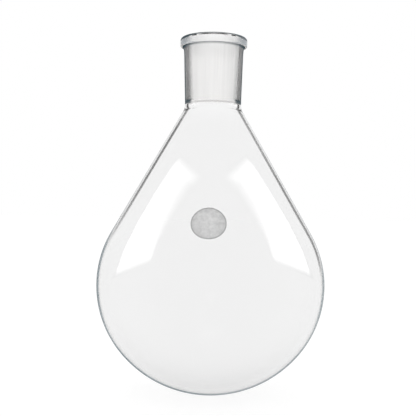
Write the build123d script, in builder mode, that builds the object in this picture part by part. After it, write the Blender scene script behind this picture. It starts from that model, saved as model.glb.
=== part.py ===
"""Pear-shaped evaporating flask: one piece of blown borosilicate glass, in millimetres.

The glass is a body of revolution about Z. Its origin is the centre of the mouth, at the
rim's top face, with +Z up out of the mouth, so the bulb hangs below the origin. A short
neck holds a standard 1 in 10 ground socket, a bead stiffens the rim, and a shallow
ground spot for pencil marks lies on the front of the shoulder, towards -Y.
"""

import os
from math import asin, atan2, degrees, hypot, radians, tan

from build123d import *

# ground socket, standard size 24/29
socket_diameter = 24.0  # at the wide end of the ground zone
socket_length = 29.0  # of the ground zone
taper_ratio = 10.0  # length over the fall in diameter
mouth_bevel = 1.0  # polished lip above the ground zone
socket_end_round = 0.5  # inside, where the ground zone stops

# bead round the rim
bead_height = 4.3
bead_overhang = 1.35  # beyond the neck's swell
bead_top_round = 1.5
bead_under_round = 0.5

# neck
swell_height = 3.8  # below the bead, where the neck widens to meet it
swell = 0.45  # added to the neck's radius there
neck_top_wall = 2.05  # glass round the ground zone, below the swell
neck_foot_wall = 2.4  # glass round the ground zone's narrow end
neck_tail = 2.75  # ground zone's end to the corner of the neck and shoulder lines
neck_wall = 1.2  # at that corner, and up to the thick glass of the socket
flare_radius = 7.0  # hollow between neck and shoulder, outside
bore_flare_radius = 4.0  # the same round inside
bore_step = 1.0  # height over which the bore opens out below the ground zone
bore_step_round = 0.5  # hollow under that step

# bulb
body_diameter = 105.0
shoulder_height = 81.4  # neck corner down to the widest ring
belly_radius = 48.0  # round of the glass above the widest ring
heel_centre = 4.2  # from the axis to the centre of the round below the widest ring
crown_centre = 3.4  # above the widest ring, the centre of the bottom's sphere
bulb_wall = 1.2

# ground spot for pencil marks
spot_diameter = 14.8
spot_rise = 5.9  # up the shoulder from the end of the belly arc to the spot's centre
spot_depth = 0.1

# sizes that follow
socket_slope = 1 / (2 * taper_ratio)  # fall in radius for each unit of length
socket_bottom = mouth_bevel + socket_length
socket_end_radius = socket_diameter / 2 - socket_slope * socket_length
neck_top = bead_height + swell_height
neck_top_radius = socket_diameter / 2 - socket_slope * (neck_top - mouth_bevel) + neck_top_wall
neck_foot_radius = socket_end_radius + neck_foot_wall
neck_length = socket_bottom + neck_tail
root_radius = neck_top_radius + swell
bead_radius = root_radius + bead_overhang
belly_level = -neck_length - shoulder_height
belly_centre = body_diameter / 2 - belly_radius  # from the axis to the centre of the belly's arc
heel_radius = body_diameter / 2 - heel_centre
crown_level = belly_level + crown_centre
crown_radius = heel_radius + hypot(heel_centre, crown_centre)  # of the bottom's sphere
heel_angle = degrees(atan2(crown_centre, heel_centre))  # where the heel's arc meets the sphere


def shoulder_slope(corner_radius, corner_height, arc_radius):
    """Slope from the vertical of the line from a neck corner that touches the belly's arc."""
    run = belly_centre - corner_radius
    return degrees(atan2(run, corner_height) + asin(arc_radius / hypot(run, corner_height)))


outer_slope = shoulder_slope(neck_foot_radius, shoulder_height, belly_radius)


def neck_corner(wall):
    """Corner of the neck and shoulder lines, on a line that runs inside the glass."""
    return (neck_foot_radius - wall, -neck_length - wall * tan(radians(outer_slope / 2)))


def bulb_lines(top_wall, side_wall):
    """Shoulder, belly and bottom of the bulb, set in from the outside of the glass.

    The shoulder is straight from the neck corner to where it touches the belly's arc.
    Below the widest ring the heel's arc runs smoothly into the sphere of the bottom.
    """
    corner_radius, corner_level = neck_corner(top_wall)
    arc_radius = belly_radius - side_wall
    slope = shoulder_slope(corner_radius, corner_level - belly_level, arc_radius)
    bottom = CenterArc(
        (0, crown_level),
        crown_radius - side_wall,
        start_angle=-90,
        arc_size=90 - heel_angle,
    )
    CenterArc(
        (heel_centre, belly_level),
        heel_radius - side_wall,
        start_angle=-heel_angle,
        arc_size=heel_angle,
    )
    belly = CenterArc((belly_centre, belly_level), arc_radius, start_angle=0, arc_size=slope)
    shoulder = Line(belly @ 1, (corner_radius, corner_level))
    return shoulder, bottom


def round_corner(section, point, radius):
    """Round the corner of a section that lies at the given point."""
    fillet(section.vertices().sort_by_distance(point)[0], radius)


# Corners of the section at the mouth and the neck, before they are rounded
mouth_edge = (socket_diameter / 2 + socket_slope * mouth_bevel, 0)
rim_edge = (bead_radius, 0)
bead_edge = (bead_radius, -bead_height)
bead_root = (root_radius, -bead_height)
socket_end = (socket_end_radius, -socket_bottom)
step_end = (neck_foot_radius - neck_wall, -socket_bottom - bore_step)

# The section of the glass: its outside, the rim, and back down the inside
with BuildPart() as flask:
    with BuildSketch(Plane.XZ) as section:
        with BuildLine():
            outer_shoulder, outer_bottom = bulb_lines(0, 0)
            neck_line = Line(outer_shoulder @ 1, (neck_top_radius, -neck_top))
            TangentArc(neck_line @ 1, bead_root, tangent=neck_line % 1)
            Polyline(bead_root, bead_edge, rim_edge, mouth_edge, socket_end)
            inner_shoulder, inner_bottom = bulb_lines(neck_wall, bulb_wall)
            Polyline(socket_end, step_end, inner_shoulder @ 1)
            Line(outer_bottom @ 0, inner_bottom @ 0)
        make_face()
        chamfer(section.vertices().sort_by_distance(mouth_edge)[0], mouth_bevel)
        round_corner(section, rim_edge, bead_top_round)
        round_corner(section, bead_edge, bead_under_round)
        round_corner(section, socket_end, socket_end_round)
        round_corner(section, step_end, bore_step_round)
        round_corner(section, neck_corner(0), flare_radius)
        round_corner(section, neck_corner(neck_wall), bore_flare_radius)
    revolve(axis=Axis.Z)

# The spot's plane touches the shoulder, square to the glass
spot_place = outer_shoulder.position_at(spot_rise, position_mode=PositionMode.LENGTH)
spot_slope = outer_shoulder.tangent_at(spot_rise, position_mode=PositionMode.LENGTH)
spot_plane = Plane(
    origin=(0, -spot_place.X, spot_place.Y),
    x_dir=(1, 0, 0),
    z_dir=(0, -spot_slope.Y, -spot_slope.X),
)

# The glass that is ground away: a round plug, less everything deeper than the spot
with BuildPart() as spot_grind:
    with BuildSketch(spot_plane):
        Circle(spot_diameter / 2)
    extrude(amount=spot_diameter / 2, both=True)
    with BuildSketch(Plane.XZ):
        with BuildLine():
            deep_shoulder, deep_bottom = bulb_lines(spot_depth, spot_depth)
            Polyline(deep_shoulder @ 1, (0, (deep_shoulder @ 1).Y), deep_bottom @ 0)
        make_face()
    revolve(axis=Axis.Z, mode=Mode.SUBTRACT)

with flask:
    add(spot_grind.part, mode=Mode.SUBTRACT)

flask.part.label = "flask"
os.makedirs("parts", exist_ok=True)
export_step(flask.part, "parts/flask.step")
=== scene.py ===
"""Pear-shaped evaporating flask in blown glass, standing in a bright plain studio.

The glass is one surface of revolution, worked out line by line from the same sizes as the
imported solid. Its finishes are clear glass outside and inside, the drawn skin of the neck, the
ground zone of the socket and the ground marking spot on the shoulder. Sizes are in
millimetres unless a comment gives another unit, and the scene is in metres.
"""
import math

import bpy
import numpy as np
from mathutils import Matrix


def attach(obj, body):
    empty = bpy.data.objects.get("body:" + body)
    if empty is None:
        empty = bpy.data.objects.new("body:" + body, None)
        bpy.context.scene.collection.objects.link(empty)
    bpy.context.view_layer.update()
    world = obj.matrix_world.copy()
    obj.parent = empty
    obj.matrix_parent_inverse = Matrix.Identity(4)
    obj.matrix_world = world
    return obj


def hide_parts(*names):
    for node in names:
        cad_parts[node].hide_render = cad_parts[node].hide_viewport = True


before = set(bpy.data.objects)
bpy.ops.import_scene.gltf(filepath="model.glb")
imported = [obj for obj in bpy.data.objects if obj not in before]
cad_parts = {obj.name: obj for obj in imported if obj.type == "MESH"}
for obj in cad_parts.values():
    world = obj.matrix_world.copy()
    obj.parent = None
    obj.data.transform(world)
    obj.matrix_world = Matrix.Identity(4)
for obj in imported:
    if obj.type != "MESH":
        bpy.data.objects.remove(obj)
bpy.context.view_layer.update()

MM = 0.001  # metres

# ---------------------------------------------------------------- sizes of the glass, mm
# ground socket
SOCKET_DIAMETER = 24.0  # at the wide end of the ground zone
SOCKET_LENGTH = 29.0
TAPER_RATIO = 10.0  # length over the fall in diameter
MOUTH_BEVEL = 1.0
SOCKET_END_ROUND = 0.5
# bead round the rim
BEAD_HEIGHT = 4.3
BEAD_OVERHANG = 1.35
BEAD_TOP_ROUND = 1.5
BEAD_UNDER_ROUND = 0.5
KEEN_ROUND = 0.12  # the least round that heat leaves on a keen edge
# neck
SWELL_HEIGHT = 3.8  # below the bead, where the neck widens to meet it
SWELL = 0.45
NECK_TOP_WALL = 2.05
NECK_FOOT_WALL = 2.4
NECK_TAIL = 2.75  # ground zone's end to the corner of the neck and shoulder lines
NECK_WALL = 1.2
FLARE_RADIUS = 7.0  # hollow between neck and shoulder, outside
BORE_FLARE_RADIUS = 4.0  # the same round inside
BORE_STEP = 1.0  # height over which the bore opens out below the ground zone
BORE_STEP_ROUND = 0.5
# bulb
BODY_DIAMETER = 105.0
SHOULDER_HEIGHT = 81.4  # neck corner down to the widest ring
BELLY_RADIUS = 48.0
HEEL_CENTRE = 4.2  # from the axis to the centre of the round below the widest ring
CROWN_CENTRE = 3.4  # above the widest ring, the centre of the bottom's sphere
BULB_WALL = 1.2
# ground spot for pencil marks
SPOT_DIAMETER = 14.8
SPOT_RISE = 5.9  # up the shoulder from the end of the belly arc to the spot's centre

# sizes that follow
SLOPE = 1 / (2 * TAPER_RATIO)
SOCKET_BOTTOM = MOUTH_BEVEL + SOCKET_LENGTH
SOCKET_END_RADIUS = SOCKET_DIAMETER / 2 - SLOPE * SOCKET_LENGTH
NECK_TOP = BEAD_HEIGHT + SWELL_HEIGHT
NECK_TOP_RADIUS = SOCKET_DIAMETER / 2 - SLOPE * (NECK_TOP - MOUTH_BEVEL) + NECK_TOP_WALL
NECK_FOOT_RADIUS = SOCKET_END_RADIUS + NECK_FOOT_WALL
NECK_LENGTH = SOCKET_BOTTOM + NECK_TAIL
ROOT_RADIUS = NECK_TOP_RADIUS + SWELL
BEAD_RADIUS = ROOT_RADIUS + BEAD_OVERHANG
BELLY_LEVEL = -NECK_LENGTH - SHOULDER_HEIGHT
BELLY_CENTRE = BODY_DIAMETER / 2 - BELLY_RADIUS
HEEL_RADIUS = BODY_DIAMETER / 2 - HEEL_CENTRE
CROWN_LEVEL = BELLY_LEVEL + CROWN_CENTRE
CROWN_RADIUS = HEEL_RADIUS + math.hypot(HEEL_CENTRE, CROWN_CENTRE)
HEEL_ANGLE = math.atan2(CROWN_CENTRE, HEEL_CENTRE)
POLE_LEVEL = CROWN_LEVEL - CROWN_RADIUS

# how finely the skin is drawn: points along each line, and steps on the straight runs
CROWN_POINTS = 62
HEEL_POINTS = 34
BELLY_POINTS = 30
SWELL_POINTS = 9
ROUND_POINTS = 12  # in a rounded corner, for each radian of its turn
FEWEST_ROUND_POINTS = 4
SHOULDER_STEP = 2.4
RIM_STEP = 2.2
SAME_POINT = 1e-4  # points nearer than this are one
AROUND = 216  # steps round the axis


# ---------------------------------------------------------------- lines of the section
def shoulder_slope(corner_radius, corner_height, arc_radius):
    """Slope from the vertical of the line from a neck corner that touches the belly's arc."""
    run = BELLY_CENTRE - corner_radius
    return math.atan2(run, corner_height) + math.asin(arc_radius / math.hypot(run, corner_height))


OUTER_SLOPE = shoulder_slope(NECK_FOOT_RADIUS, SHOULDER_HEIGHT, BELLY_RADIUS)


def neck_corner(wall):
    """Corner of the neck and shoulder lines, set in by a wall."""
    return np.array([NECK_FOOT_RADIUS - wall, -NECK_LENGTH - wall * math.tan(OUTER_SLOPE / 2)])


def arc(centre, radius, start, end, count):
    """Points on a circle: centre plus radius times the cosine and sine of an even run of angles."""
    angle = np.linspace(start, end, count)
    return np.column_stack([centre[0] + radius * np.cos(angle), centre[1] + radius * np.sin(angle)])


def bearing(point, centre):
    """Angle of a point round a centre."""
    return math.atan2(point[1] - centre[1], point[0] - centre[0])


def bulb(top_wall, side_wall):
    """Bottom sphere, heel arc and belly arc, from the pole up to the foot of the shoulder."""
    corner = neck_corner(top_wall)
    slope = shoulder_slope(corner[0], corner[1] - BELLY_LEVEL, BELLY_RADIUS - side_wall)
    crown = arc((0, CROWN_LEVEL), CROWN_RADIUS - side_wall, -math.pi / 2, -HEEL_ANGLE, CROWN_POINTS)
    heel = arc((HEEL_CENTRE, BELLY_LEVEL), HEEL_RADIUS - side_wall, -HEEL_ANGLE, 0, HEEL_POINTS)
    belly = arc((BELLY_CENTRE, BELLY_LEVEL), BELLY_RADIUS - side_wall, 0, slope, BELLY_POINTS)
    crown[0, 0] = 0.0
    return np.vstack([crown, heel[1:], belly[1:]])


def rounded(corners, radii, step):
    """A run of straight lines whose corners are rounded, each by its own radius.

    The round is the circle that touches both lines: its ends lie on them at the radius times
    the tangent of half the turn from the corner.
    """
    corners = [np.asarray(corner, float) for corner in corners]
    runs = [[corners[0]]]
    for before, here, after, radius in zip(corners, corners[1:], corners[2:], radii):
        come = (here - before) / np.linalg.norm(here - before)
        go = (after - here) / np.linalg.norm(after - here)
        side = math.copysign(1.0, come[0] * go[1] - come[1] * go[0])
        turn = math.acos(max(-1.0, min(1.0, float(come @ go))))
        start = here - come * radius * math.tan(turn / 2)
        centre = start + side * radius * np.array([-come[1], come[0]])
        first = bearing(start, centre)
        count = max(FEWEST_ROUND_POINTS, int(turn * ROUND_POINTS) + 2)
        runs.append(arc(centre, radius, first, first + side * turn, count))
    runs.append([corners[-1]])
    line = [np.asarray(runs[0])]
    for run in runs[1:]:
        run = np.asarray(run)
        last = line[-1][-1]
        count = max(1, int(np.linalg.norm(run[0] - last) / step))
        line.append(last + (run[0] - last) * (np.arange(1, count) / count)[:, None])
        line.append(run)
    return np.vstack(line)


def swell_arc(start, direction, end, count):
    """The arc that leaves a line smoothly at its start and ends at a given point.

    Its radius is the chord's square over twice the chord's reach along the line's normal.
    """
    chord = end - start
    normal = np.array([-direction[1], direction[0]])
    radius = float(chord @ chord) / (2 * float(chord @ normal))
    centre = start + normal * radius
    first = bearing(start, centre)
    turn = (bearing(end, centre) - first + math.pi) % (2 * math.pi) - math.pi
    return arc(centre, abs(radius), first, first + turn, count)


outer_bulb = bulb(0.0, 0.0)
inner_bulb = bulb(NECK_WALL, BULB_WALL)
neck_head = np.array([NECK_TOP_RADIUS, -NECK_TOP])
bead_root = np.array([ROOT_RADIUS, -BEAD_HEIGHT])
shoulder = rounded([outer_bulb[-1], neck_corner(0.0), neck_head], [FLARE_RADIUS], SHOULDER_STEP)
neck_way = neck_head - neck_corner(0.0)
swell = swell_arc(neck_head, neck_way / np.linalg.norm(neck_way), bead_root, SWELL_POINTS)
mouth_edge = np.array([SOCKET_DIAMETER / 2 + SLOPE * MOUTH_BEVEL, 0.0])
taper = np.array([SLOPE, 1.0]) / math.hypot(SLOPE, 1.0)
# under the bead, over the rim and down the bore: each corner, and how it is rounded
rim = rounded(
    [
        swell[-2],
        bead_root,
        (BEAD_RADIUS, -BEAD_HEIGHT),
        (BEAD_RADIUS, 0.0),
        mouth_edge + (MOUTH_BEVEL, 0.0),
        mouth_edge - taper * MOUTH_BEVEL,
        (SOCKET_END_RADIUS, -SOCKET_BOTTOM),
        (NECK_FOOT_RADIUS - NECK_WALL, -SOCKET_BOTTOM - BORE_STEP),
        neck_corner(NECK_WALL),
        inner_bulb[-1],
    ],
    [
        KEEN_ROUND,
        BEAD_UNDER_ROUND,
        BEAD_TOP_ROUND,
        KEEN_ROUND,
        KEEN_ROUND,
        SOCKET_END_ROUND,
        BORE_STEP_ROUND,
        BORE_FLARE_RADIUS,
    ],
    RIM_STEP,
)

# the whole section: up the outside, over the rim and down the inside to the axis
section = np.vstack([outer_bulb, shoulder[1:], swell[1:-2], rim, inner_bulb[::-1][1:]])
section = section[np.r_[True, np.linalg.norm(np.diff(section, axis=0), axis=1) > SAME_POINT]]
section[-1, 0] = 0.0


# ---------------------------------------------------------------- the skin of the glass
def blown_glass(name, outline, around):
    """One closed skin of revolution, and the run of the outline that each face belongs to.

    Each point of the outline (radius, height) goes round the axis in even steps: x is the
    radius times the cosine, y the radius times the sine. The two ends of the outline lie on
    the axis, so the first and last rings are single points closed by fans.
    """
    turn = np.arange(around) * (2 * math.pi / around)
    rings = outline[1:-1]
    ring_points = np.empty((len(rings), around, 3))
    ring_points[:, :, 0] = rings[:, :1] * np.cos(turn)
    ring_points[:, :, 1] = rings[:, :1] * np.sin(turn)
    ring_points[:, :, 2] = rings[:, 1:]
    start_pole = [[0, 0, outline[0, 1]]]
    end_pole = [[0, 0, outline[-1, 1]]]
    points = np.vstack([start_pole, ring_points.reshape(-1, 3), end_pole])

    # each ring's points are numbered on from the ring before it
    here = 1 + np.arange(around)
    beside = 1 + (np.arange(around) + 1) % around
    ring_start = np.arange(len(rings) - 1)[:, None] * around
    quads = np.stack([ring_start + here, ring_start + beside,
                      ring_start + beside + around, ring_start + here + around], axis=-1)
    quads = quads.reshape(-1, 4)
    last_ring = (len(rings) - 1) * around
    start_fan = np.column_stack([np.zeros(around, int), beside, here])
    end_fan = np.column_stack([np.full(around, len(points) - 1), last_ring + here, last_ring + beside])
    corners = np.concatenate([start_fan.ravel(), quads.ravel(), end_fan.ravel()])
    sides = np.concatenate([np.full(around, 3), np.full(len(quads), 4), np.full(around, 3)])

    mesh = bpy.data.meshes.new(name)
    mesh.vertices.add(len(points))
    mesh.vertices.foreach_set("co", (points * MM).ravel())
    mesh.loops.add(len(corners))
    mesh.loops.foreach_set("vertex_index", corners.astype(np.int32))
    mesh.polygons.add(len(sides))
    starts = np.concatenate([[0], np.cumsum(sides)[:-1]])
    mesh.polygons.foreach_set("loop_start", starts.astype(np.int32))
    mesh.polygons.foreach_set("use_smooth", np.ones(len(sides), bool))
    mesh.update(calc_edges=True)
    mesh.validate()
    piece = bpy.data.objects.new(name, mesh)
    bpy.context.scene.collection.objects.link(piece)
    return piece, np.repeat(np.arange(len(rings) + 1), around)


# ---------------------------------------------------------------- mixing the finishes
def grey(tone):
    """A colour that is the same in red, green and blue."""
    return (tone, tone, tone, 1.0)


class Recipe:
    """The node tree of a finish or of the room, with short ways to add to it.

    An item is a number, a colour, or the output of another node.
    """

    def __init__(self, tree):
        self.nodes = tree.nodes
        self.links = tree.links

    def feed(self, socket, item):
        """Give a socket an item."""
        if isinstance(item, bpy.types.NodeSocket):
            self.links.new(item, socket)
        else:
            socket.default_value = item

    def add(self, kind, inputs=(), **settings):
        """A new node, with its settings and the items for its inputs, by name or by place."""
        node = self.nodes.new("ShaderNode" + kind)
        for setting, value in settings.items():
            setattr(node, setting, value)
        for socket, item in dict(inputs).items():
            self.feed(node.inputs[socket], item)
        return node

    def maths(self, operation, *items, clamp=False):
        """One step of arithmetic."""
        return self.add("Math", enumerate(items), operation=operation, use_clamp=clamp).outputs[0]

    def product(self, first, *others):
        """All of the items multiplied together."""
        for other in others:
            first = self.maths("MULTIPLY", first, other)
        return first

    def blend(self, value, low, high, start=0.0, end=1.0):
        """Moves smoothly from start to end while a value goes from low to high."""
        items = enumerate((value, low, high, start, end))
        return self.add("MapRange", items, interpolation_type="SMOOTHSTEP").outputs[0]

    def ramp(self, value, stops):
        """Straight runs between given stops: each is a place from 0 to 1, and a grey or a colour."""
        node = self.add("ValToRGB", {0: value})
        elements = node.color_ramp.elements
        while len(elements) > 1:
            elements.remove(elements[-1])
        for index, (place, tone) in enumerate(stops):
            element = elements[0] if index == 0 else elements.new(place)
            element.position = place
            element.color = (*tone, 1.0) if isinstance(tone, tuple) else grey(tone)
        return node.outputs[0]

    def between(self, share, first, second):
        """A number that a share moves from the first to the second."""
        return self.add("Mix", {0: share, 2: first, 3: second}, data_type="FLOAT").outputs[0]

    def colour_between(self, share, first, second):
        """A colour that a share moves from the first to the second."""
        return self.add("Mix", {0: share, 6: first, 7: second}, data_type="RGBA").outputs[2]

    def noise(self, place, scale, detail, roughness=0.5, **settings):
        """An uneven grey, from 0 to 1."""
        inputs = {"Vector": place, "Scale": scale, "Detail": detail, "Roughness": roughness}
        return self.add("TexNoise", inputs, **settings).outputs["Fac"]

    def bump(self, grain, strength, distance):
        """Small hollows and rises in a skin; distance in metres."""
        inputs = {"Height": grain, "Strength": strength, "Distance": distance}
        return self.add("Bump", inputs).outputs[0]

    def matt(self, colour):
        """A dull surface."""
        return self.add("BsdfDiffuse", {"Color": colour}).outputs[0]

    def glow(self, strength, colour=grey(1.0)):
        """A surface that gives light."""
        return self.add("Emission", {"Color": colour, "Strength": strength}).outputs[0]

    def over(self, share, below, above):
        """A share of one surface over another."""
        return self.add("MixShader", {0: share, 1: below, 2: above}).outputs[0]

    def place(self):
        """Where a point of the glass lies, in metres."""
        return self.add("TexCoord").outputs["Object"]

    def apart(self, vector):
        """The X, Y and Z of a vector."""
        return self.add("SeparateXYZ", {0: vector}).outputs

    def height_and_across(self, place):
        """Height above the rim and place across the flask, in millimetres."""
        parts = self.apart(place)
        return self.product(parts["Z"], 1 / MM), self.product(parts["X"], 1 / MM)

    def reach(self, place):
        """Distance from the flask's axis, in millimetres."""
        flat = self.add("VectorMath", {0: place, 1: (1 / MM, 1 / MM, 0.0)}, operation="MULTIPLY")
        return self.add("VectorMath", {0: flat.outputs[0]}, operation="LENGTH").outputs["Value"]

    def squareness(self):
        """How squarely a ray meets the glass: 1 head on, 0 along the skin."""
        facing = self.add("LayerWeight", {"Blend": 0.5}).outputs["Facing"]
        return self.maths("SUBTRACT", 1.0, facing)

    def from_within(self):
        """1 where a ray comes at the skin from inside the wall, 0 where it comes from the air."""
        return self.add("NewGeometry").outputs["Backfacing"]


def new_material(name):
    """A material with the recipe of its nodes, its main shader and its surface socket."""
    material = bpy.data.materials.new(name)
    material.use_nodes = True
    nodes = material.node_tree.nodes
    surface = nodes["Material Output"].inputs["Surface"]
    return material, Recipe(material.node_tree), nodes["Principled BSDF"], surface


# ---------------------------------------------------------------- clear blown glass
# In the values of the finishes, a pair says where a blend begins and where it ends, and two
# more numbers say from what to what it moves. Heights are in millimetres above the rim.
GLASS_INDEX = 1.47
CRITICAL = math.sqrt(1 - 1 / GLASS_INDEX ** 2)  # squareness at which light no longer leaves the wall
LEAN = 13.0  # how much further up the bulb the lines change on the left
LEAN_ACROSS = (-20.0, 20.0)  # from left to right

# The line at the outline, where light has the longest way through the wall, is painted shade: a dark
# matt surface mixed over the glass. Its width is in squareness, and its depth is a share of painted
# shade. Each change sets in from its first height to its second, and adds to both.
LINE_WIDTH = 0.08
LINE_DEPTH = 0.36
LINE_SOFTNESS = 0.07  # squareness over which it fades
BULB_BEGINS = (-95.0, -112.0)
BULB_CHANGE = (0.08, 0.26)
LINE_CHANGES = [  # heights, more width, more depth
    ((-118.0, -140.0), -0.03, -0.06),  # heel
    ((-134.0, -146.0), 0.0, 0.12),  # bottom
    ((-30.2, -29.6), 0.16, 0.40),  # neck
    ((-5.0, -4.4), -0.14, -0.45),  # bead
    ((-1.9, -1.5), 0.50, 0.62),  # rim
]
LINE_SIDES = (-14.0, 14.0, 1.0, 0.85)  # a little fainter on the right
# colours of the painted shade at the outline
OUTLINE_SHADE_TONE = (0.05, 0.075, 0.09, 1.0)
BULB_OUTLINE_SHADE_TONE = (0.02, 0.08, 0.11, 1.0)  # a little bluer

# The ledge under the bead turns the light aside; its dark line is painted shade
LEDGE_TOP = (-3.9, -4.2)
LEDGE_FOOT = (-4.6, -5.4, 1.0, 0.0)
LEDGE_WEDGE = (0.3, 0.7, 0.35, 0.0)  # mm further down, at its two ends
LEDGE_REACH = (14.4, 14.9, 1.0, 0.0)  # from the axis
LEDGE_FADE = (-0.68, 1.15)  # for each unit of squareness, and at the outline

# At the foot of the thick socket glass the edge is painted nearly black: painted shade
CORNER_TOP = (-29.1, -29.7, 0.0, 0.9)
CORNER_FOOT = (-30.8, -31.2, 1.0, 0.0)
CORNER_WIDTH = (0.52, 0.70, 1.0, 0.0)

# The drawn skin of the neck lets a little less light through, up to the swell
CLEARING_HEIGHTS = (-16.0, -7.0)

# The ground spot. Places on it are shares of a span that is a little wider than its radius.
SPOT_SPAN = 1.25 * SPOT_DIAMETER / 2
SPOT_FACE = [(0.0, 1.0), (0.79, 1.0), (0.81, 0.0)]
SPOT_RING = [(0.0, 0.0), (0.3, 0.0), (0.6, 0.10), (0.73, 0.28), (0.785, 1.0), (0.81, 1.0)]
SPOT_WAVER = 0.25  # mm, unevenness of its edge
SPOT_WAVER_NOISE = (420.0, 3.0)  # scale and detail
SPOT_ROUGHNESS = 0.55
SPOT_GRAIN_NOISE = (2600.0, 4.0)  # scale and detail
SPOT_GRAIN_BUMP = (0.35, 0.0001)  # strength, and depth in metres
SPOT_MOTTLE_NOISE = (520.0, 6.0, 0.65)  # scale, detail and roughness
SPOT_PATCHES = [(0.34, 0.28), (0.66, 0.66)]  # its mottled greys: painted shade, mottled like the grinding
# darker towards the spot's edge
SPOT_RING_TONE = (0.15, 0.15, 0.155, 1.0)
SPOT_PAINTED_GREY = 0.48  # share of the painted grey shade in the middle
SPOT_RING_PAINTED_GREY = 0.25  # more of it at the ring


def glass_values(shader, roughness, tint=grey(1.0)):
    """Borosilicate glass on a shader's own sockets."""
    shader.inputs["Base Color"].default_value = tint
    shader.inputs["Transmission Weight"].default_value = 1.0
    shader.inputs["IOR"].default_value = GLASS_INDEX
    shader.inputs["Roughness"].default_value = roughness


def leaning(recipe, height, across):
    """Height, with the left of the flask counted as lying lower."""
    return recipe.maths("SUBTRACT", height, recipe.blend(across, *LEAN_ACROSS, LEAN, 0.0))


def painted_outline_shade(recipe, place, height, across, on_bulb):
    """Share of painted shade where the outside of the wall turns away: a dark line, the ledge and the
    corner.
    """
    width, depth = LINE_WIDTH, LINE_DEPTH
    changes = [(on_bulb, *BULB_CHANGE)]
    for heights, wider, deeper in LINE_CHANGES:
        changes.append((recipe.blend(height, *heights), wider, deeper))
    for there, wider, deeper in changes:
        width = recipe.maths("MULTIPLY_ADD", there, wider, width)
        depth = recipe.maths("MULTIPLY_ADD", there, deeper, depth)
    depth = recipe.product(recipe.blend(across, *LINE_SIDES), depth)
    square_on = recipe.squareness()
    line = recipe.blend(square_on, width, recipe.maths("ADD", width, LINE_SOFTNESS), depth, 0.0)

    wedge = recipe.blend(square_on, *LEDGE_WEDGE)
    ledge = recipe.product(
        recipe.blend(height, *LEDGE_TOP),
        recipe.blend(recipe.maths("ADD", height, wedge), *LEDGE_FOOT),
        recipe.blend(recipe.reach(place), *LEDGE_REACH),
        recipe.maths("MULTIPLY_ADD", square_on, *LEDGE_FADE, clamp=True),
    )
    corner = recipe.product(
        recipe.blend(height, *CORNER_TOP),
        recipe.blend(height, *CORNER_FOOT),
        recipe.blend(square_on, *CORNER_WIDTH),
    )
    line = recipe.maths("MAXIMUM", recipe.maths("MAXIMUM", line, ledge), corner)
    return recipe.product(line, recipe.maths("SUBTRACT", 1.0, recipe.from_within()))


def spot_distance(recipe, place):
    """Distance from the middle of the ground spot, in its own plane, as a share of its span.

    The plane leans as the shoulder does, so the distance is the root of the squares of the
    way along x and the way up the slope.
    """
    run_up = np.array([-math.sin(OUTER_SLOPE), math.cos(OUTER_SLOPE)])
    middle = outer_bulb[-1] + run_up * SPOT_RISE
    middle_place = (0.0, -middle[0] * MM, middle[1] * MM)
    offset = recipe.add("VectorMath", {0: place, 1: middle_place}, operation="SUBTRACT").outputs[0]
    squares = []
    for way in ((1.0, 0.0, 0.0), (0.0, -run_up[0], run_up[1])):
        along = recipe.add("VectorMath", {0: offset, 1: way}, operation="DOT_PRODUCT")
        squares.append(recipe.maths("POWER", along.outputs["Value"], 2.0))
    distance = recipe.product(recipe.maths("SQRT", recipe.maths("ADD", *squares)), 1 / MM)
    waver = recipe.maths("SUBTRACT", recipe.noise(place, *SPOT_WAVER_NOISE), 0.5)
    wavered = recipe.maths("ADD", distance, recipe.product(waver, SPOT_WAVER))
    return recipe.maths("DIVIDE", wavered, SPOT_SPAN)


def spot_face(recipe, place, ring):
    """Ground face of the spot: fine-ground glass under a painted grey shade, mottled by the grinding
    and darker at its edge.
    """
    ground = recipe.add("BsdfPrincipled")
    glass_values(ground, SPOT_ROUGHNESS)
    grain = recipe.bump(recipe.noise(place, *SPOT_GRAIN_NOISE), *SPOT_GRAIN_BUMP)
    recipe.feed(ground.inputs["Normal"], grain)
    patches = recipe.ramp(recipe.noise(place, *SPOT_MOTTLE_NOISE), SPOT_PATCHES)
    painted_grey = recipe.matt(recipe.colour_between(ring, patches, SPOT_RING_TONE))
    share = recipe.maths("ADD", SPOT_PAINTED_GREY, recipe.product(ring, SPOT_RING_PAINTED_GREY))
    return recipe.over(share, ground.outputs[0], painted_grey)


def clear_glass(name, gleam, clearness):
    """Outside of the flask: clear blown glass with painted shade along its outline, and the ground
    marking spot on the shoulder.

    Gleam is how brightly the skin mirrors the room, and clearness the share of light that it
    lets through below the swell.
    """
    material, recipe, shader, surface = new_material(name)
    glass_values(shader, 0.0)
    shader.inputs["Specular Tint"].default_value = grey(gleam)
    place = recipe.place()
    height, across = recipe.height_and_across(place)
    if clearness < 1.0:
        clearing = recipe.blend(height, *CLEARING_HEIGHTS, clearness, 1.0)
        recipe.feed(shader.inputs["Base Color"], clearing)
    on_bulb = recipe.blend(leaning(recipe, height, across), *BULB_BEGINS)
    # painted shade: a share of dark matt mixed over the glass at the outline
    painted_shade = painted_outline_shade(recipe, place, height, across, on_bulb)
    tone = recipe.colour_between(on_bulb, OUTLINE_SHADE_TONE, BULB_OUTLINE_SHADE_TONE)
    clear = recipe.over(painted_shade, shader.outputs[0], recipe.matt(tone))

    distance = spot_distance(recipe, place)
    in_front = recipe.maths("LESS_THAN", recipe.apart(place)["Y"], 0.0)
    on_spot = recipe.product(in_front, recipe.ramp(distance, SPOT_FACE))
    ring = recipe.ramp(distance, SPOT_RING)
    recipe.feed(surface, recipe.over(on_spot, clear, spot_face(recipe, place, ring)))
    return material


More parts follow.
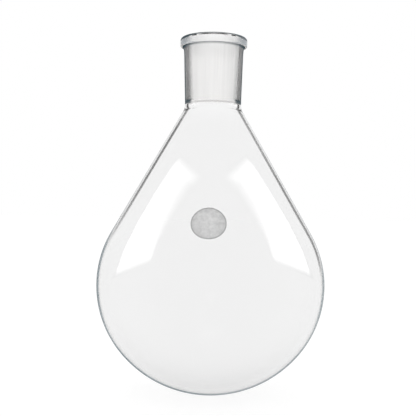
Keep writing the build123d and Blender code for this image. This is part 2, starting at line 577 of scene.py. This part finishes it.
# ---------------------------------------------------------------- inside of the flask
# Light that only just gets out of the wall into the flask is lost, and a dark line is painted down
# the shoulder for it: painted shade. Its edges lie at the critical squareness, more or less these
# numbers over the distance from the axis.
INNER_LINE_RISE = (-0.40, -0.10)
INNER_LINE_FALL = (0.10, 0.45)
INNER_LINE_END = (-98.0, -112.0, 1.0, 0.0)  # it fades out on the bulb
INNER_LINE_START = (-30.8, -31.2, 0.0, 0.95)
INNER_LINE_SHADE_TONE = grey(0.03)
# how dark the painted line is down each side of the shoulder, and at the foot of the neck
LEFT_TOP = (-36.0, -45.0, 0.72, 1.0)
LEFT_FOOT = (-70.0, -90.0, 1.0, 0.65)
RIGHT_SIDE = (-48.0, -75.0, 0.74, 1.0)
SIDE_TO_SIDE = (-12.0, 12.0)
FOOT_OF_NECK = (-34.2, -33.2)


def inside_glass():
    """Inside of the bulb and neck: clear glass, drawn smooth by the blowing, with a dark line painted
    down the shoulder.
    """
    material, recipe, shader, surface = new_material("clear_glass_inside")
    glass_values(shader, 0.0)
    place = recipe.place()
    height, across = recipe.height_and_across(place)
    square_on = recipe.squareness()
    spread = recipe.maths("DIVIDE", 1.0, recipe.reach(place))

    def edges(shares):
        return [recipe.maths("MULTIPLY_ADD", spread, share, CRITICAL) for share in shares]

    line = recipe.product(
        recipe.blend(square_on, *edges(INNER_LINE_RISE)),
        recipe.blend(square_on, *edges(INNER_LINE_FALL), 1.0, 0.0),
    )
    down = recipe.product(
        recipe.blend(leaning(recipe, height, across), *INNER_LINE_END),
        recipe.blend(height, *INNER_LINE_START),
    )
    left = recipe.product(recipe.blend(height, *LEFT_TOP), recipe.blend(height, *LEFT_FOOT))
    right = recipe.blend(height, *RIGHT_SIDE)
    sides = recipe.blend(across, *SIDE_TO_SIDE, left, right)
    sides = recipe.maths("MAXIMUM", recipe.blend(height, *FOOT_OF_NECK), sides)
    # painted shade: dark matt mixed over the glass along the line
    painted_shade = recipe.product(recipe.product(line, recipe.from_within()), recipe.product(down, sides))
    recipe.feed(surface, recipe.over(painted_shade, shader.outputs[0], recipe.matt(INNER_LINE_SHADE_TONE)))
    return material


# ---------------------------------------------------------------- ground socket
GROUND_TINT = (1.0, 0.993, 0.986, 1.0)
GROUND_ROUGHNESS = (0.1, 0.5, 0.55, 0.28)  # shares of the way down, and how rough there
FURROWS_ROUND = 11.0  # noise steps for each radian round the bore
FURROWS_DOWN = 18.0  # and for each metre down it
FURROW_NOISE = (1.0, 5.0)  # scale and detail
FURROW_BUMP = (0.12, 0.0002)  # strength, and depth in metres
# painted shade: how grey the ground face is painted where it is seen slantwise, by the share of the way
# down the bore, nearly black at its foot
GROUND_SHADE_TONES = [
    (0.0, (0.50, 0.54, 0.58)),
    (0.125, (0.50, 0.54, 0.58)),
    (0.165, (0.12, 0.12, 0.125)),
    (0.925, (0.13, 0.13, 0.13)),
    (0.96, (0.03, 0.03, 0.03)),
    (1.0, (0.02, 0.02, 0.02)),
]
# share of that painted grey by squareness, for a ray that comes through the wall and one from the bore
FROM_WALL = [(0.0, 0.98), (0.56, 0.97), (0.66, 0.80), (0.73, 0.56), (0.78, 0.32), (0.825, 0.06),
             (1.0, 0.03)]
FROM_BORE = [(0.0, 0.60), (0.28, 0.28), (0.5, 0.08), (0.68, 0.05), (0.8, 0.025), (1.0, 0.015)]
FURROW_SHARE = 0.16  # what the furrows add to that share
FURROW_MIDDLE = 0.075  # taken off again, so that they even out
PAINTED_GLOW_LIGHT = 0.66  # painted light: glow given to the ground face
PAINTED_GLOW_COLOUR = (1.0, 0.985, 0.975, 1.0)


def ground_socket_glass():
    """The ground zone of the neck: finely ground, with the faint upright lines of the grinding, painted
    grey shade where it is seen slantwise, and a painted glow on rays that glanced along the wall.
    """
    material, recipe, shader, surface = new_material("ground_socket_glass")
    glass_values(shader, 0.0, GROUND_TINT)
    parts = recipe.apart(recipe.place())
    down = recipe.product(parts["Z"], -1 / MM / SOCKET_BOTTOM)
    recipe.feed(shader.inputs["Roughness"], recipe.blend(down, *GROUND_ROUGHNESS))
    round_bore = recipe.maths("ARCTAN2", parts["Y"], parts["X"])
    lines_place = recipe.add("CombineXYZ", {0: recipe.product(round_bore, FURROWS_ROUND),
                                            1: recipe.product(parts["Z"], FURROWS_DOWN)}).outputs[0]
    furrows = recipe.noise(lines_place, *FURROW_NOISE, noise_dimensions="2D")
    recipe.feed(shader.inputs["Normal"], recipe.bump(furrows, *FURROW_BUMP))

    # painted shade: seen slantwise the ground face is painted grey, where it would scatter the dim
    # room's light
    painted_grey = recipe.matt(recipe.ramp(down, GROUND_SHADE_TONES))
    square_on = recipe.squareness()
    slant = recipe.between(recipe.from_within(), recipe.ramp(square_on, FROM_BORE),
                           recipe.ramp(square_on, FROM_WALL))
    share = recipe.maths("MULTIPLY_ADD", furrows, FURROW_SHARE, slant)
    share = recipe.maths("SUBTRACT", share, FURROW_MIDDLE, clamp=True)
    face = recipe.over(share, shader.outputs[0], painted_grey)

    # painted light: on rays that have glanced along the wall the ground face glows, as if it gathered
    # their light
    glanced = recipe.maths("MINIMUM", 1.0, recipe.add("LightPath").outputs["Glossy Depth"])
    recipe.feed(surface, recipe.over(glanced, face, recipe.glow(PAINTED_GLOW_LIGHT, PAINTED_GLOW_COLOUR)))
    return material


# ---------------------------------------------------------------- the flask
BULB_GLEAM, BULB_CLEARNESS = 1.0, 1.0
NECK_GLEAM, NECK_CLEARNESS = 0.1, 0.978

flask, rows = blown_glass("flask_glass", section, AROUND)
OUTSIDE, INSIDE, SOCKET, NECK = range(4)
flask.data.materials.append(clear_glass("clear_blown_glass", BULB_GLEAM, BULB_CLEARNESS))
flask.data.materials.append(inside_glass())
flask.data.materials.append(ground_socket_glass())
flask.data.materials.append(clear_glass("drawn_neck_glass", NECK_GLEAM, NECK_CLEARNESS))

# which finish each run of the section gets, by its middle height
level = (section[:-1, 1] + section[1:, 1]) / 2
top_row = int(np.argmax(section[:, 1] > -SAME_POINT))  # where the rim's top face begins
after_mouth = np.arange(len(level)) > top_row
in_socket = after_mouth & (level < -MOUTH_BEVEL) & (level > -SOCKET_BOTTOM + SOCKET_END_ROUND)
at_lip = after_mouth & (level > -MOUTH_BEVEL)
on_neck_skin = ~after_mouth & (level > neck_corner(0.0)[1] - FLARE_RADIUS / 2)
kind = np.select([in_socket, at_lip | on_neck_skin, after_mouth], [SOCKET, NECK, INSIDE], OUTSIDE)
flask.data.polygons.foreach_set("material_index", kind[rows].astype(np.int32))
flask.data.update()
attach(flask, "root")
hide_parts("flask")

# ---------------------------------------------------------------- where the lens stands
FRAME_PIXELS = 416  # each way
FOCAL_PIXELS = 800.0
SENSOR_WIDTH = 36.0  # mm
NEAREST = 0.01  # metres, what lies nearer isn't drawn
LENS_AWAY = 0.3717  # metres from the flask's axis
LENS_ASIDE = -0.0016  # metres to the right of the axis
LENS_ABOVE = -0.0788  # metres above the rim
ORBIT = math.radians(1.66)  # round the flask, from straight in front
ROLL = math.radians(0.85)
AHEAD = np.array([-math.sin(ORBIT), math.cos(ORBIT), 0.0])
LEVEL_RIGHT = np.array([math.cos(ORBIT), math.sin(ORBIT), 0.0])
UPRIGHT = np.array([0.0, 0.0, 1.0])
RIGHT = LEVEL_RIGHT * math.cos(ROLL) + UPRIGHT * math.sin(ROLL)
UP = -LEVEL_RIGHT * math.sin(ROLL) + UPRIGHT * math.cos(ROLL)
LENS_PLACE = -AHEAD * LENS_AWAY + LEVEL_RIGHT * LENS_ASIDE + UPRIGHT * LENS_ABOVE

# ---------------------------------------------------------------- the floor
FLOOR_GAP = 0.05  # mm under the bulb
FLOOR_HALF = 6.0  # metres
FLOOR_TONE = 0.20
FLOOR_GLOW = 0.88
FLOOR_GLOW_THROUGH_GLASS = -0.055  # added for what the glass lets through


def studio_floor():
    """A wide pale floor that touches the bottom of the bulb and keeps its faint shadow."""
    half, level = FLOOR_HALF, (POLE_LEVEL - FLOOR_GAP) * MM
    mesh = bpy.data.meshes.new("studio_floor")
    mesh.from_pydata([(-half, -half, level), (half, -half, level), (half, half, level),
                      (-half, half, level)], [], [(0, 1, 2, 3)])
    floor = bpy.data.objects.new("studio_floor", mesh)
    bpy.context.scene.collection.objects.link(floor)
    material, recipe, shader, surface = new_material("pale_floor")
    recipe.nodes.remove(shader)
    path = recipe.add("LightPath").outputs
    # seen directly or straight through the glass the floor is white; mirrored, the room shows
    mirrored = recipe.maths("MINIMUM", 1.0, path["Glossy Depth"])
    strength = recipe.maths("MULTIPLY_ADD", path["Is Transmission Ray"],
                            FLOOR_GLOW_THROUGH_GLASS, FLOOR_GLOW)
    both = recipe.add("AddShader", {0: recipe.matt(grey(FLOOR_TONE)), 1: recipe.glow(strength)})
    clear = recipe.add("BsdfTransparent").outputs[0]
    recipe.feed(surface, recipe.over(mirrored, both.outputs[0], clear))
    mesh.materials.append(material)


# ---------------------------------------------------------------- the room
# how light the room is from straight behind the flask, 0, to straight in front of it, 1
ROOM_LIGHT = [(0.0, 1.0), (0.10, 0.95), (0.25, 0.80), (0.41, 0.50), (0.50, 0.36),
              (0.59, 0.22), (0.75, 0.11), (1.0, 0.09)]
ROOM_UNDERSIDE = (-0.95, -0.35, 0.7, 1.0)  # darker straight below
SOFT_LIGHT = 0.85  # what lights the floor


def studio_world():
    """Light round the flask: a white backdrop behind, falling off to a dim room in front.

    What is seen straight through the glass is the plain white background on every side.
    What the glass reflects is the room.
    """
    world = bpy.data.worlds.new("bright_studio")
    bpy.context.scene.world = world
    world.use_nodes = True
    recipe = Recipe(world.node_tree)
    background = recipe.nodes["Background"]
    path = recipe.add("LightPath").outputs
    way = recipe.apart(recipe.add("TexCoord").outputs["Generated"])
    from_behind = recipe.maths("DIVIDE", recipe.maths("ARCCOSINE", way["Y"]), math.pi)
    room = recipe.product(recipe.ramp(from_behind, ROOM_LIGHT), recipe.blend(way["Z"], *ROOM_UNDERSIDE))
    unmirrored = recipe.maths("LESS_THAN", path["Glossy Depth"], 0.5)
    straight = recipe.product(path["Is Transmission Ray"], unmirrored)
    seen = recipe.maths("MAXIMUM", path["Is Camera Ray"], straight)
    by_glass = recipe.maths("MAXIMUM", path["Is Glossy Ray"], path["Is Transmission Ray"])
    light = recipe.between(seen, recipe.between(by_glass, SOFT_LIGHT, room), 1.0)
    recipe.feed(background.inputs["Color"], grey(1.0))
    recipe.feed(background.inputs["Strength"], light)


# ---------------------------------------------------------------- the light panels
PANEL_LIGHT = 4.6
PANEL_REACH = 0.5  # metres from the glass
PANEL_POINTS = 31  # along each side of its grid
PANEL_BORDER = 0.1  # soft border, as a share of the panel
INNER_BORDER = [(0.0, 0.15), (0.13, 0.6), (0.3, 0.55), (0.5, 0.4), (0.75, 0.15), (1.0, 0.1)]
GLOW_SETS_IN = (PANEL_REACH - 0.015, PANEL_REACH - 0.005)  # metres from the glass
SEARCH_DEPTH = 0.06  # metres in front of the axis where a ray may meet the glass
SEARCH_STEPS = 1500
# Each panel's image on the bulb: a share of the way down, then where its outer and its inner
# edge lie in the frame, in pixels across and down
LEFT_PANEL = [
    (0.0, 180.5, 153.5, 206.5, 177.0),
    (0.13, 170.0, 167.0, 192.4, 190.5),
    (0.3, 154.0, 191.8, 183.3, 204.7),
    (0.5, 136.7, 221.0, 172.1, 221.5),
    (0.75, 122.5, 250.0, 159.0, 242.2),
    (1.0, 112.2, 279.0, 151.6, 263.0),
]
RIGHT_PANEL = [
    (0.0, 245.5, 153.5, 219.5, 177.0),
    (0.13, 256.3, 167.0, 232.4, 190.5),
    (0.3, 271.8, 191.8, 243.0, 204.7),
    (0.5, 289.0, 221.0, 254.0, 221.5),
    (0.75, 303.4, 250.0, 266.1, 242.2),
    (1.0, 313.6, 279.0, 273.3, 263.0),
]


def first_touch(ways, outline):
    """Where rays from the lens first meet the outside of the glass, and its normals there.

    Along each ray the radius from the axis less the outline's radius at that height falls
    through zero at the glass. The normal leans by the slope of the outline.
    """
    order = np.argsort(outline[:, 1])
    heights, widths = outline[order, 1] * MM, outline[order, 0] * MM
    far = np.linspace(LENS_AWAY - SEARCH_DEPTH, LENS_AWAY, SEARCH_STEPS)
    along = LENS_PLACE + ways[:, None, :] * far[None, :, None]
    over = np.hypot(along[..., 0], along[..., 1]) - np.interp(along[..., 2], heights, widths)
    touch = along[np.arange(len(ways)), np.argmax(over < 0, axis=1)]
    above = np.interp(touch[:, 2] + MM, heights, widths)
    below = np.interp(touch[:, 2] - MM, heights, widths)
    lean = (above - below) / (2 * MM)
    radius = np.hypot(touch[:, 0], touch[:, 1])
    normal = np.column_stack([touch[:, 0] / radius, touch[:, 1] / radius, -lean])
    return touch, normal / np.linalg.norm(normal, axis=1)[:, None]


def panel_cloth(name):
    """Lit cloth with keen borders, but for the inner one, which fades out slowly above the middle."""
    material, recipe, shader, surface = new_material(name)
    recipe.nodes.remove(shader)
    parts = recipe.apart(recipe.add("UVMap", uv_map="panel").outputs[0])
    across, down = parts["X"], parts["Y"]
    to_inner = recipe.maths("SUBTRACT", 1.0, across)
    to_end = recipe.maths("MINIMUM", down, recipe.maths("SUBTRACT", 1.0, down))
    border = recipe.product(
        recipe.blend(to_inner, 0.0, recipe.ramp(down, INNER_BORDER)),
        recipe.blend(across, 0.0, PANEL_BORDER),
        recipe.blend(to_end, 0.0, PANEL_BORDER),
    )
    # only the outside of the bulb mirrors the panels: the neck and rim stand too near to them
    path = recipe.add("LightPath").outputs
    outside = recipe.product(
        recipe.maths("LESS_THAN", path["Transmission Depth"], 0.5),
        recipe.blend(path["Ray Length"], *GLOW_SETS_IN),
    )
    recipe.feed(surface, recipe.glow(recipe.product(recipe.product(border, outside), PANEL_LIGHT)))
    return material


def softbox(name, stations):
    """A light panel with a soft border whose mirrored image on the bulb has a given outline.

    A grid is drawn evenly between the stations, each of its rays is mirrored by the glass
    (way less twice its share along the normal), and the panel's cloth hangs at a fixed reach
    along the mirrored rays.
    """
    even = np.linspace(0, 1, PANEL_POINTS)
    across, down = (side.ravel()[:, None] for side in np.meshgrid(even, even, indexing="ij"))
    share, *edges = np.array(stations, float).T
    outer_x, outer_y, inner_x, inner_y = (np.interp(down, share, edge) for edge in edges)
    pixel_x = outer_x * (1 - across) + inner_x * across
    pixel_y = outer_y * (1 - across) + inner_y * across
    middle = FRAME_PIXELS / 2
    ways = AHEAD * FOCAL_PIXELS + RIGHT * (pixel_x - middle) - UP * (pixel_y - middle)
    ways /= np.linalg.norm(ways, axis=1)[:, None]
    touch, normal = first_touch(ways, section[: int(np.argmax(section[:, 1])) + 1])
    mirrored = ways - 2 * np.sum(ways * normal, axis=1)[:, None] * normal
    cloth = touch + mirrored * PANEL_REACH

    here = (np.arange(PANEL_POINTS - 1)[:, None] * PANEL_POINTS + np.arange(PANEL_POINTS - 1)).ravel()
    faces = np.column_stack([here, here + 1, here + PANEL_POINTS + 1, here + PANEL_POINTS])
    mesh = bpy.data.meshes.new(name)
    mesh.from_pydata(cloth.tolist(), [], faces.tolist())
    uv = mesh.uv_layers.new(name="panel")
    uv.data.foreach_set("uv", np.hstack([across, down])[faces.ravel()].astype(np.float32).ravel())
    mesh.materials.append(panel_cloth(name + "_cloth"))
    panel = bpy.data.objects.new(name, mesh)
    bpy.context.scene.collection.objects.link(panel)
    for ray in ("camera", "diffuse", "transmission", "volume_scatter", "shadow"):
        setattr(panel, "visible_" + ray, False)


studio_floor()
studio_world()
softbox("left_panel", LEFT_PANEL)
softbox("right_panel", RIGHT_PANEL)

# ---------------------------------------------------------------- the camera
camera = bpy.data.objects.new("camera", bpy.data.cameras.new("camera"))
bpy.context.scene.collection.objects.link(camera)
camera.data.sensor_width = SENSOR_WIDTH
camera.data.lens = SENSOR_WIDTH * FOCAL_PIXELS / FRAME_PIXELS
camera.data.clip_start = NEAREST
camera_pose = np.eye(4)
camera_pose[:3] = np.column_stack([RIGHT, UP, -AHEAD, LENS_PLACE])
camera.matrix_world = Matrix(camera_pose)
bpy.context.scene.camera = camera
bpy.context.scene.view_settings.view_transform = "Standard"
